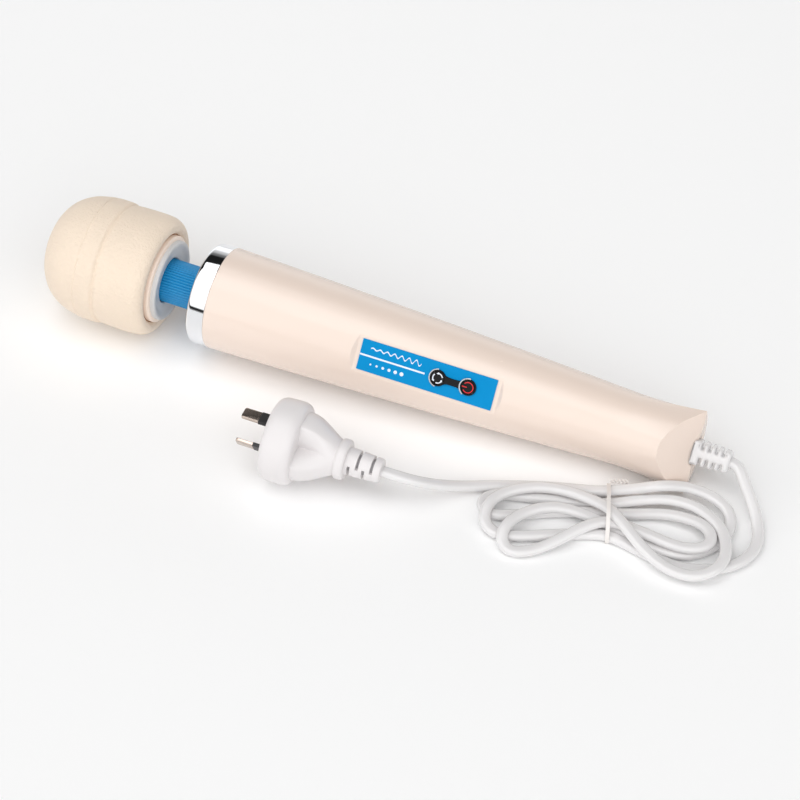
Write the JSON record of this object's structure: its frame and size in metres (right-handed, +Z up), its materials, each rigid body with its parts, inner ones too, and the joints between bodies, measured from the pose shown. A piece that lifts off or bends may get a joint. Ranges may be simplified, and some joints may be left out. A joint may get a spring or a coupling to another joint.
{
  "type": "handheld wand massager",
  "caption": "Handheld wand massager: slim ivory handle with a button panel, bright ring, ribbed flexible neck, soft round head, and a tied mains lead with a flat-pin plug.",
  "frame": {"origin": "under the middle of the wand, on the surface that it lies on", "axes": "+X along the wand towards its tail, +Z up; the control panel faces up and towards -Y"},
  "size_m": [0.3731, 0.1197, 0.0619],
  "materials": {
    "ivory_shell": "glossy moulded ABS, warm ivory",
    "chrome": "mirror plated",
    "blue_label": "printed polycarbonate label",
    "black_gloss": "gloss black",
    "bright_rim": "bright thin rim",
    "black_plastic": "matte black",
    "board_green": "solder mask",
    "steel": "plain steel",
    "white_plastic": "satin white",
    "blue_rubber": "satin ribbed",
    "black_rubber": "matte",
    "magnet": "ferrite",
    "carbon": "carbon",
    "brass": "sintered bronze",
    "copper": "enamelled copper",
    "soft_cover": "soft, fine leathery grain",
    "white_rubber": "glossy flexible PVC",
    "tie_white": "plastic coated wire",
    "wire_brown": "PVC",
    "wire_red": "PVC",
    "white_plug": "moulded PVC",
    "pin_metal": "plated"
  },
  "bodies": {
    "handle": {"board_components": "black_plastic", "board_screws": "steel", "button_rims": "bright_rim", "carbon_brushes": "carbon", "chrome_ring": "chrome", "clamp_screws": "steel", "control_board": "board_green", "control_label": "blue_label", "cord_clamp": "white_plastic", "cord_hank": "white_rubber", "cord_lead": "white_rubber", "cord_plug_lead": "white_rubber", "cord_tie": "tie_white", "front_shell": "ivory_shell", "internal_cord": "white_rubber", "mains_wires": "wire_brown", "mode_switch": "black_plastic", "motor_bearing_front": "brass", "motor_bearing_rear": "brass", "motor_can": "steel", "motor_end_cap": "black_plastic", "motor_magnets": "magnet", "motor_mount_front": "black_rubber", "motor_mount_rear": "black_rubber", "motor_wires": "wire_red", "neck_clamp": "white_plastic", "neck_clamp_screws": "steel", "pin_sleeves": "black_plastic", "plug_body": "white_plug", "plug_pins": "pin_metal", "plug_relief": "white_plug", "power_switch": "black_plastic", "rear_shell": "ivory_shell", "shell_screws": "steel", "strain_relief": "white_rubber", "switch_surround": "black_gloss"},
    "head": {"head_cover": "soft_cover", "head_collar": "white_plastic", "head_core_front": "white_plastic", "head_core_rear": "white_plastic", "core_screws": "steel", "head_bearing_front": "steel", "head_bearing_rear": "steel"},
    "eccentric": {"eccentric_shaft": "steel", "eccentric_weight": "steel"},
    "neck": {"neck_sleeve": "blue_rubber"},
    "coupling": {"flex_coupling": "black_rubber"},
    "rotor": {"motor_shaft": "steel", "rotor_core": "steel", "rotor_windings": "copper", "commutator": "copper"},
    "mode_key": {"mode_button": "black_gloss", "mode_plunger": "black_plastic"},
    "power_key": {"power_button": "black_gloss", "power_plunger": "black_plastic"}
  },
  "joints": [
    {"name": "neck_pitch", "type": "hinge", "parent": "handle", "child": "neck", "pos_m": [-0.09248, 0, 0.02921], "axis": [0.04, 0.5519, 0.8329], "range_deg": [-10, 10], "stiffness_Nm_per_rad": 3.5, "deforming": ["neck_sleeve"]},
    {"name": "neck_yaw", "type": "hinge", "parent": "neck", "child": "head", "pos_m": [-0.09248, 0, 0.02921], "axis": [0.0265, -0.8339, 0.5513], "range_deg": [-10, 10], "stiffness_Nm_per_rad": 3.5, "deforming": ["flex_coupling"]},
    {"name": "motor_spin", "type": "hinge", "parent": "handle", "child": "rotor", "pos_m": [-0.03255, 0, 0.02633], "axis": [0.9988, 0, -0.048], "continuous": true},
    {"name": "coupling_spin", "type": "hinge", "parent": "neck", "child": "coupling", "pos_m": [-0.08948, 0, 0.02907], "axis": [0.9988, 0, -0.048], "continuous": true},
    {"name": "eccentric_spin", "type": "hinge", "parent": "head", "child": "eccentric", "pos_m": [-0.13393, 0, 0.0312], "axis": [0.9988, 0, -0.048], "continuous": true},
    {"name": "mode_press", "type": "slide", "parent": "handle", "child": "mode_key", "axis": [-0.0662, 0.8332, -0.549], "range_m": [0, 0.0005], "stiffness_N_per_m": 800},
    {"name": "power_press", "type": "slide", "parent": "handle", "child": "power_key", "axis": [-0.0662, 0.8332, -0.549], "range_m": [0, 0.0005], "stiffness_N_per_m": 800}
  ],
  "couplings": [
    {"joint": "coupling_spin", "follows": "motor_spin", "ratio": 1},
    {"joint": "eccentric_spin", "follows": "motor_spin", "ratio": 1}
  ]
}
